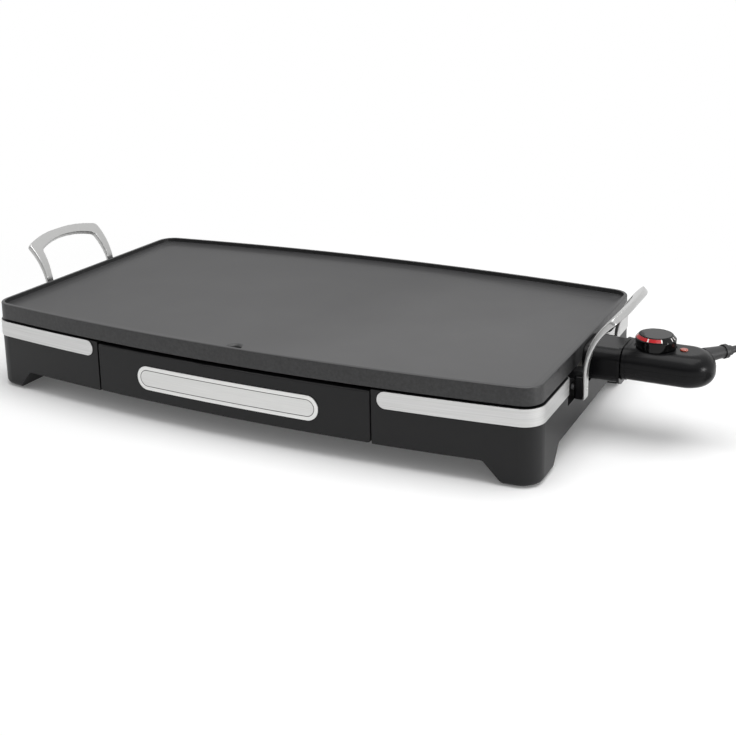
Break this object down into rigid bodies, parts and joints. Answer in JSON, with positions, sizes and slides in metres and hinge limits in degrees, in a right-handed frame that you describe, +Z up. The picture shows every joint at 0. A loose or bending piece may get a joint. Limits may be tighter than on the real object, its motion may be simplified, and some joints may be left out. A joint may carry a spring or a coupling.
{
  "type": "electric plancha",
  "caption": "Table plancha with a bowed cast cooking plate that lifts off, a sliding drip drawer below, carrying handles and a plug-in thermostat on the right end.",
  "frame": {"origin": "on the table under the middle of the cooking plate, in the plane of the rubber feet", "axes": "+X along the plate to the thermostat, +Y to the back, away from the drawer front, +Z up"},
  "size_m": [0.8873, 0.3182, 0.1242],
  "materials": {
    "base_plastic": "fine satin grain",
    "front_plastic": "fine satin grain",
    "case_plastic": "satin",
    "knob_plastic": "half gloss",
    "rubber_black": "matt",
    "lead_rubber": "satin",
    "steel_trim": "brushed along its length",
    "badge_metal": "brushed, with a fine engraved line",
    "handle_metal": "satin cast",
    "plate_coat": "dark non-stick coat on cast metal",
    "tray_coat": "black enamel",
    "reflector_sheet": "bright sheet",
    "plated_steel": "zinc plated",
    "element_sheath": "dull sheath",
    "ceramic_white": "unglazed",
    "pin_brass": "nickel plated",
    "lens_amber": "clear, amber red"
  },
  "bodies": {
    "base": {"base_housing": "base_plastic", "foot_pads": "rubber_black", "plate_rest_pads": "rubber_black", "heat_reflector": "reflector_sheet", "drawer_rail_right": "plated_steel", "drawer_rail_left": "plated_steel", "trim_front_right": "steel_trim", "trim_front_left": "steel_trim", "trim_rear_right": "steel_trim", "trim_rear_left": "steel_trim"},
    "drawer": {"drawer_front": "front_plastic", "drawer_badge": "badge_metal", "drawer_tray": "tray_coat", "drawer_screws": "plated_steel"},
    "plate": {"cooking_plate": "plate_coat", "heating_element": "element_sheath", "terminal_block": "ceramic_white", "terminal_pins": "pin_brass", "probe_sleeve": "plated_steel", "socket_collar": "case_plastic", "handle_right": "handle_metal", "handle_left": "handle_metal", "bracket_front_right": "case_plastic", "bracket_front_left": "case_plastic", "bracket_rear_right": "case_plastic", "bracket_rear_left": "case_plastic", "handle_screws": "plated_steel", "bracket_screws": "plated_steel"},
    "thermostat": {"controller_upper_shell": "case_plastic", "controller_lower_shell": "case_plastic", "connector_nose": "case_plastic", "contact_sleeves": "pin_brass", "probe_rod": "plated_steel", "thermostat_switch": "ceramic_white", "pilot_lens": "lens_amber", "strain_relief": "lead_rubber", "mains_lead": "lead_rubber", "lead_coil": "lead_rubber", "mains_plug": "lead_rubber", "plug_pins": "pin_brass"},
    "knob": {"temperature_knob": "knob_plastic", "knob_cap": "knob_plastic", "knob_shaft": "plated_steel"}
  },
  "joints": [
    {"name": "drawer_slide", "type": "slide", "parent": "base", "child": "drawer", "axis": [0, -1, 0], "range_m": [0, 0.2]},
    {"name": "plate_lift", "type": "slide", "parent": "base", "child": "plate", "axis": [0, 0, 1], "range_m": [0, 0.12]},
    {"name": "thermostat_pull", "type": "slide", "parent": "plate", "child": "thermostat", "axis": [1, 0, 0], "range_m": [0, 0.09]},
    {"name": "knob_turn", "type": "hinge", "parent": "thermostat", "child": "knob", "pos_m": [0.3372, 0, 0.083], "axis": [0, 0, -1], "range_deg": [0, 270]}
  ]
}
